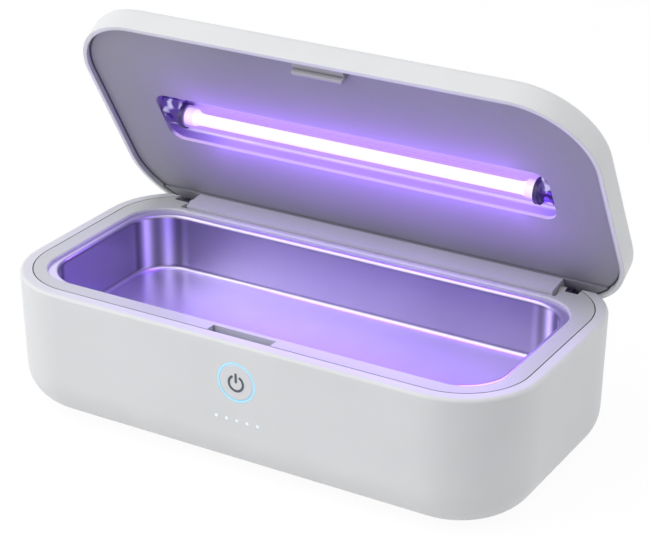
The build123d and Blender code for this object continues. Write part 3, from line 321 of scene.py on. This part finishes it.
def tub_steel():
    """Drawn steel: painted shade on its walls, and painted reflections in bands round the corners."""
    # The steel's violet colour is painted light from the tube.
    material = metal(
        "tub_steel", (0.77, 0.71, 1.0), 0.31, stretch=(0.3, 0.3, 1), scale=1200, depth=0.0004,
        streak=0.03,
    )
    tree, shader = opened(material)
    shader.inputs["Metallic"].default_value = 0.85
    upward = own_axis(tree, "Normal", "Z")
    # Painted shade: the walls are darker than the floor.
    wall_shade = spread(tree, upward, TUB_WALL_SHADE, 1, from_low=0.5, from_high=0.97)
    on_wall = spread(tree, upward, 1, 0, from_low=0.15, from_high=0.5)

    # Painted reflections: light and dark bands run down the corners, from one straight wall to the next.
    sideways = arithmetic(tree, "ABSOLUTE", own_axis(tree, "Normal", "X"))
    waves = product(tree, arithmetic(tree, "ARCSINE", sideways), TUB_REFLECTION_BANDS)
    leaving = spread(tree, sideways, 0, 1, from_low=0.05, from_high=0.2)
    arriving = spread(tree, sideways, 1, 0, from_low=0.97, from_high=0.995)
    swing = product(tree, arithmetic(tree, "COSINE", waves), leaving, arriving, on_wall)
    band_share = arithmetic(tree, "POWER", TUB_REFLECTION_CONTRAST, swing)

    # Painted shade: the long walls turn darker towards the right, up to the corner.
    along = own_axis(tree, "Object", "X")
    growing = spread(tree, along, 0, 1, from_low=-60 * MM, from_high=40 * MM)
    ending = spread(tree, along, 1, 0, from_low=84 * MM, from_high=90 * MM)
    right_shade = arithmetic(tree, "POWER", TUB_RIGHT_SHADE, product(tree, growing, ending, on_wall))

    dim_base(tree, shader, product(tree, wall_shade, band_share, right_shade))
    return material


HALO_STRENGTH = 0.65
HIGHLIGHT_VIOLET = (0.66, 0.42, 1.0)


def grey_liner():
    """The lid's liner: the lamp's painted halo round the trough, and a painted highlight on the trough's
    lower edge.
    """
    material = moulded("grey_liner", (0.31, 0.31, 0.34), 0.48, grain=1100, depth=0.02, seam_shade_reach=1.5)
    painted_lamp_glow(material, VIOLET, strength=HALO_STRENGTH, reach=10)
    # Painted shade: the liner darkens at its very edge, as shadow in the gap to the lid's rim.
    shade_round_liner(material, inside=1.0, outside=0.25, start=-0.9, end=-0.5)
    tree, shader = opened(material)
    # Painted highlight: a pale violet line along the trough's lower edge, as light caught on its rounded
    # edge.
    rounding = off_rectangle(tree, TROUGH_MIDDLE, TROUGH_HALVES, TROUGH_RADIUS)
    on_edge = spread(
        tree, rounding, 1, 0,
        from_low=(TROUGH_RADIUS + 0.05) * MM, from_high=(TROUGH_RADIUS + 0.15) * MM,
    )
    downwards = measured_from(tree, on_lid(*TROUGH_MIDDLE, 0), LID_BACK)
    on_lower_side = spread(tree, downwards, 0, 1, from_low=9 * MM, from_high=12 * MM)
    painted_edge_highlight = product(tree, on_edge, on_lower_side)
    halo = shader.inputs["Emission Strength"].links[0].from_socket
    strength = arithmetic(tree, "MAXIMUM", halo, product(tree, painted_edge_highlight, HALO_STRENGTH))
    tree.links.new(strength, shader.inputs["Emission Strength"])
    tree.links.new(shades(tree, painted_edge_highlight, VIOLET, HIGHLIGHT_VIOLET), shader.inputs["Emission Color"])
    return material


def chrome():
    """The holders: metal with painted reflections of the lid and room in dark and pale patches, and painted
    violet light from the tube.
    """
    material, tree, shader = new_material("chrome")
    shader.inputs["Metallic"].default_value = 1.0
    shader.inputs["Roughness"].default_value = 0.16
    # Painted reflections: dark and pale patches stand in for the lid and room mirrored in the metal.
    reflection_patches = noise(tree, scale=190, detail=1, rough=0.4, stretch=(1, 1.6, 1))
    mirrored = spread(tree, reflection_patches, 0, 1, from_low=0.50, from_high=0.60)
    tint = shades(tree, mirrored, (0.06, 0.04, 0.17), (0.52, 0.48, 0.74))
    tree.links.new(tint, shader.inputs["Base Color"])
    bump(tree, shader, reflection_patches, strength=0.6, distance=0.5 * MM)
    return painted_lamp_glow(material, (0.26, 0.10, 0.95), strength=0.3, reach=25)


def lamp_cap():
    """The tube's end caps: dark outside, with a painted white-hot glow where they plug into the tube."""
    material = moulded("lamp_cap", (0.13, 0.08, 0.30), 0.24, grain=500, coat=0.4)
    tree, shader = opened(material)
    # Painted glow: a thin white ring where the caps meet the tube.
    shader.inputs["Emission Color"].default_value = (1.0, 0.86, 1.0, 1)
    well_past_its_width = 20
    from_tube_end = off_rectangle(tree, TUBE_MIDDLE[:2], (TUBE_HALF, well_past_its_width))
    painted_glow = spread(tree, from_tube_end, 1.2, 0, from_low=0, from_high=0.15 * MM)
    tree.links.new(painted_glow, shader.inputs["Emission Strength"])
    return material


def quartz():
    """The tube's glass: clear, with a violet rim where it is seen edge on."""
    material, tree, shader = new_material("quartz")
    shader.inputs["Specular IOR Level"].default_value = 0.25
    shader.inputs["Base Color"].default_value = (0.05, 0.03, 0.10, 1)
    shader.inputs["Roughness"].default_value = 0.2
    shader.inputs["IOR"].default_value = 1.46
    facing = node(tree, "LayerWeight", Blend=0.35).outputs["Facing"]
    body = spread(tree, facing, 0.08, 0.85, from_low=0, from_high=0.8)
    rim = spread(tree, facing, 1, 0.25, from_low=0.78, from_high=1)
    tree.links.new(product(tree, body, rim), shader.inputs["Alpha"])
    glow = shades(tree, facing, (0.60, 0.36, 0.95), (0.42, 0.24, 0.88))
    tree.links.new(glow, shader.inputs["Emission Color"])
    shader.inputs["Emission Strength"].default_value = 0.95
    return material


def plasma():
    """The glowing gas, a little uneven along the tube."""
    material, tree, shader = new_material("plasma")
    shader.inputs["Base Color"].default_value = (0.9, 0.85, 1.0, 1)
    swirl = spread(tree, noise(tree, scale=60, detail=3, stretch=(0.3, 1, 1)), 0, 1)
    tint = shades(tree, swirl, (0.80, 0.70, 1.0), (0.86, 0.78, 1.0))
    tree.links.new(tint, shader.inputs["Emission Color"])
    shader.inputs["Emission Strength"].default_value = 1.5
    return material


# ---- who wears what -----------------------------------------------------------------------------


def give(material, *names):
    for name in names:
        obj = NODES[name]
        obj.data.materials.clear()
        obj.data.materials.append(material)


# The housing and the lid.
WHITE = (0.80, 0.81, 0.82)
give(moulded("white_shell", WHITE, 0.42, seam_shade_reach=0.7), "base_shell", "bottom_cover")
lid_white = moulded("lid_white", WHITE, 0.42, seam_shade_reach=1.0)
# Painted shade: the lid shell is dimmed inside the liner's outline, as a shadow line along its inner rim.
give(shade_round_liner(lid_white, inside=0.8, outside=1.0, start=0.45, end=0.75), "lid_shell")
give(moulded("grey_bezel", (0.645, 0.675, 0.645), 0.36, seam_shade_reach=1.5), "bezel_frame")
give(moulded("grey_latch", (0.45, 0.44, 0.49), 0.48, grain=1100, depth=0.02, seam_shade_reach=1.5), "latch_hook")
give(moulded("grey_barrel", (0.70, 0.69, 0.80), 0.40, seam_shade_reach=1.5), "hinge_barrel")
give(grey_liner(), "lid_liner")
give(tub_steel(), "steel_tub")

# The controls.
give(moulded("button_grey", (0.81, 0.815, 0.84), 0.36, grain=2000, depth=0.006), "button_cap")
give(glowing("light_ring", (0.51, 0.72, 0.80), (0.13, 0.42, 0.62), 0.6), "light_ring")
give(glowing("light_pipes", (0.66, 0.80, 0.86), (0.44, 0.52, 0.55), 1.0), "indicator_light_pipes")

# The lamp.
# The reflector's violet tint and its glow near the tube are painted light from the tube.
reflector = metal(
    "reflector", (0.46, 0.40, 0.62), 0.48, stretch=(0.05, 1, 1), scale=1800, depth=0.003
)
give(painted_lamp_glow(reflector, (0.36, 0.20, 1.0), strength=0.5, reach=30), "lamp_reflector")
give(quartz(), "lamp_tube")
give(lamp_cap(), "lamp_end_caps")
give(moulded("clip_dark", (0.05, 0.03, 0.15), 0.4, grain=900, drift=0.1), "lamp_clips")
give(chrome(), "lamp_sockets", "socket_screws")

# The hinge, the fasteners and what is inside.
give(
    metal("dark_steel", (0.09, 0.08, 0.13), 0.4, scale=1500),
    "hinge_bracket_left", "hinge_bracket_right", "hinge_pin_left", "hinge_pin_right",
)
give(moulded("nylon", (0.74, 0.72, 0.66), 0.5), "friction_washer_left", "friction_washer_right")
give(
    metal("zinc_steel", (0.55, 0.55, 0.57), 0.32, scale=1500),
    "bottom_screws", "control_board_screws", "driver_board_screws", "usb_socket",
)
give(
    moulded("silicone", (0.50, 0.48, 0.58), 0.6, grain=900, depth=0.02, drift=0.06), "tub_gasket"
)
give(
    moulded("rubber", (0.035, 0.035, 0.038), 0.82, grain=700, depth=0.03, drift=0.15),
    "rubber_foot_ring", "button_pad",
)
give(
    moulded("black_part", (0.022, 0.022, 0.026), 0.4, grain=900, drift=0.1),
    "switch_plunger", "tact_switch", "control_chip", "lid_sensor", "driver_transformer", "usb_tongue",
)
give(
    moulded("board", (0.012, 0.11, 0.055), 0.34, grain=300, depth=0.02, drift=0.12, coat=0.3),
    "control_board", "lamp_driver_board",
)
give(moulded("led_body", (0.80, 0.78, 0.62), 0.3, grain=900), "status_leds", "ring_leds")
give(metal("can", (0.70, 0.70, 0.72), 0.28), "driver_capacitors")
give(metal("magnet", (0.66, 0.65, 0.64), 0.18), "lid_magnet")

# ---- pieces that CAD does not carry -------------------------------------------------------------


def mesh_object(name, build, smooth, material):
    """An object in one material, with the form that the build function makes."""
    mesh = bpy.data.meshes.new(name)
    form = bmesh.new()
    build(form)
    bmesh.ops.recalc_face_normals(form, faces=form.faces)
    form.to_mesh(mesh)
    form.free()
    for face in mesh.polygons:
        face.use_smooth = smooth
    mesh.materials.append(material)
    obj = bpy.data.objects.new(name, mesh)
    bpy.context.scene.collection.objects.link(obj)
    return obj


def discharge(form):
    """The discharge inside the tube: a glowing column that widens at its two ends."""
    x, back, out = TUBE_MIDDLE
    stations = [(step - GLOW_HALF, radius, sag) for step, radius, sag in GLOW_STATIONS]
    stations += [(-along, radius, sag) for along, radius, sag in reversed(stations)]
    rings = []
    for along, radius, sag in stations:
        ring = []
        for k in range(GLOW_SIDES):
            turn = k / GLOW_SIDES * 2 * math.pi
            point = on_lid(
                x + along, back + sag + radius * math.cos(turn), out + radius * math.sin(turn)
            )
            ring.append(form.verts.new(point))
        rings.append(ring)
    for near, far in zip(rings, rings[1:]):
        for k in range(GLOW_SIDES):
            after = (k + 1) % GLOW_SIDES
            form.faces.new((near[k], near[after], far[after], far[k]))
    for ring in (rings[0], rings[-1]):
        form.faces.new(ring)


def stroke(form, path):
    """A band of constant width along a path on the button's face, with rounded ends."""
    left = []
    right = []
    points = [Vector((x, y, 0)) for x, y in path]
    for i, point in enumerate(points):
        ahead = points[min(i + 1, len(points) - 1)] - points[max(i - 1, 0)]
        side = Vector((-ahead.y, ahead.x, 0)).normalized() * SYMBOL_STROKE / 2
        left.append(point + side)
        right.append(point - side)
    ends = []
    for point, edge in ((points[-1], left[-1]), (points[0], right[0])):
        turns = [Matrix.Rotation(-math.pi * k / CAP_STEPS, 3, "Z") for k in range(1, CAP_STEPS)]
        ends.append([point + turn @ (edge - point) for turn in turns])
    outline = left + ends[0] + list(reversed(right)) + ends[1]
    top = [form.verts.new(on_button(place.x, place.y, SYMBOL_HEIGHT)) for place in outline]
    low = [form.verts.new(on_button(place.x, place.y, -SYMBOL_SINK)) for place in outline]
    count = len(outline)
    for i in range(count):
        after = (i + 1) % count
        form.faces.new((top[i], top[after], low[after], low[i]))
    # The top and the underside are filled in strips across the band, so that they follow its curve.
    half_cap = len(ends[0]) // 2
    first = len(left) + len(ends[0]) + len(right) + half_cap
    last = len(left) + half_cap
    one_edge = [(first + k) % count for k in range((last - first) % count + 1)]
    other_edge = [(first - k) % count for k in range((first - last) % count + 1)]
    for strip in zip(one_edge, one_edge[1:], other_edge[1:], other_edge):
        corners = list(dict.fromkeys(strip))
        form.faces.new([top[k] for k in corners])
        form.faces.new([low[k] for k in reversed(corners)])


def symbol(form):
    """The power symbol: an open ring with an upright bar, standing just proud of the button."""
    arc = []
    for i in range(SYMBOL_STEPS + 1):
        turn = math.pi / 2 + SYMBOL_GAP + 2 * (math.pi - SYMBOL_GAP) * i / SYMBOL_STEPS
        arc.append((SYMBOL_RADIUS * math.cos(turn), SYMBOL_RADIUS * math.sin(turn) - SYMBOL_DROP))
    stroke(form, arc)
    stroke(form, [(0, height) for height in SYMBOL_BAR])


lamp_glow = mesh_object("lamp_glow", discharge, True, plasma())
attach(lamp_glow, "lid")

symbol_grey = moulded("symbol_grey", (0.10, 0.12, 0.14), 0.45, drift=0.06)
power_symbol = mesh_object("power_symbol", symbol, False, symbol_grey)
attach(power_symbol, "button")

# ---- floor, world, lamps and camera -------------------------------------------------------------


def seen_directly(tree):
    """1 for rays that should find a plain white studio: from the camera, or off gloss, or through glass."""
    path = node(tree, "LightPath").outputs
    first = arithmetic(tree, "MAXIMUM", path["Is Camera Ray"], path["Is Glossy Ray"])
    return arithmetic(tree, "MAXIMUM", first, path["Is Transmission Ray"])


def blended(tree, share, plain, seen, out):
    """Feeds an output with two shaders, mixed by the share of the second."""
    blend = node(tree, "MixShader")
    for source, socket in zip((share, plain.outputs[0], seen.outputs[0]), blend.inputs):
        tree.links.new(source, socket)
    tree.links.new(blend.outputs[0], out.inputs["Surface"])


FLOOR_SIZE = 8
FLOOR_DROP = 0.2
WHITE_SHARE = 0.9  # how much of the floor's look is plain white; the rest is paper that takes the shadow

bpy.ops.mesh.primitive_plane_add(size=FLOOR_SIZE, location=(0, 0, -FLOOR_DROP * MM))
floor = bpy.context.object
floor.name = "floor"
floor_material = bpy.data.materials.new("floor")
floor_material.use_nodes = True
tree = floor_material.node_tree
tree.nodes.clear()
out = node(tree, "OutputMaterial")
paper = node(tree, "BsdfDiffuse", Color=(0.82, 0.82, 0.82, 1))
white = node(tree, "Emission", Color=(1, 1, 1, 1), Strength=1.04)
blended(tree, product(tree, seen_directly(tree), WHITE_SHARE), paper, white, out)
floor.data.materials.append(floor_material)

world = bpy.data.worlds.new("studio")
bpy.context.scene.world = world
world.use_nodes = True
tree = world.node_tree
tree.nodes.clear()
out = node(tree, "OutputWorld")
soft = node(tree, "Background", Color=(0.96, 0.97, 1.0, 1), Strength=0.3)
white = node(tree, "Background", Color=(1, 1, 1, 1), Strength=1.0)
blended(tree, seen_directly(tree), soft, white, out)

LAMPS_AIM = Vector((0, 0, 50 * MM))


def area_lamp(name, shape, size, watts):
    light = bpy.data.lights.new(name, "AREA")
    light.shape = shape
    light.size = size
    light.energy = watts
    obj = bpy.data.objects.new(name, light)
    bpy.context.scene.collection.objects.link(obj)
    return obj


def softbox(name, azimuth, elevation, distance, size, watts):
    """A square lamp facing the object; azimuth 0 is in front of it and 90 to its right."""
    around = math.radians(azimuth)
    raised = math.radians(elevation)
    back = Vector((
        math.sin(around) * math.cos(raised),
        -math.cos(around) * math.cos(raised),
        math.sin(raised),
    ))
    obj = area_lamp(name, "SQUARE", size, watts)
    obj.location = LAMPS_AIM + back * distance
    obj.rotation_mode = "QUATERNION"
    obj.rotation_quaternion = (-back).to_track_quat("-Z", "Y")


softbox("key", azimuth=-47, elevation=31, distance=1.5, size=1.6, watts=14)
softbox("side", azimuth=117, elevation=16, distance=1.5, size=1.6, watts=6)
softbox("top", azimuth=20, elevation=82, distance=1.6, size=1.6, watts=9)

# The light that the tube throws out of its trough, into the tub in every pose of the lid.
TUBE_LAMP_OUT = 1.5
TUBE_LAMP_WIDTH = 9
TUBE_LAMP_WATTS = 0.096
TUBE_LAMP_SPREAD = math.radians(100)

tube_lamp = area_lamp("tube_light", "RECTANGLE", 2 * GLOW_HALF * MM, TUBE_LAMP_WATTS)
tube_lamp.data.size_y = TUBE_LAMP_WIDTH * MM
tube_lamp.data.color = VIOLET
tube_lamp.data.spread = TUBE_LAMP_SPREAD
tube_lamp.visible_camera = False
along_hinge = Vector((1, 0, 0))
up_beam = Vector((0, 0.42, 0.91)).normalized()
turn = Matrix((along_hinge, up_beam.cross(along_hinge), up_beam)).transposed().to_4x4()
tube_lamp.matrix_world = Matrix.Translation(on_lid(*TUBE_MIDDLE[:2], TUBE_LAMP_OUT)) @ turn
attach(tube_lamp, "lid")

CAMERA_PLACE = Vector((382.3, -635.05, 401.7)) * MM
CAMERA_BACK = Vector((0.46346, -0.78330, 0.41430))
CAMERA_RIGHT = Vector((0.860475, 0.509493, 0.000696))
PICTURE_WIDTH = 650
camera_data = bpy.data.cameras.new("camera")
camera_data.sensor_width = 36
camera_data.lens = 114.32
camera_data.shift_x = 2.65 / PICTURE_WIDTH
camera_data.shift_y = -2.59 / PICTURE_WIDTH
camera_data.clip_start = 0.05
camera_data.clip_end = 50
camera = bpy.data.objects.new("camera", camera_data)
bpy.context.scene.collection.objects.link(camera)
camera_up = CAMERA_BACK.cross(CAMERA_RIGHT)
turn = Matrix((CAMERA_RIGHT, camera_up, CAMERA_BACK)).transposed().to_4x4()
camera.matrix_world = Matrix.Translation(CAMERA_PLACE) @ turn
bpy.context.scene.camera = camera

bpy.context.scene.view_settings.view_transform = "Standard"
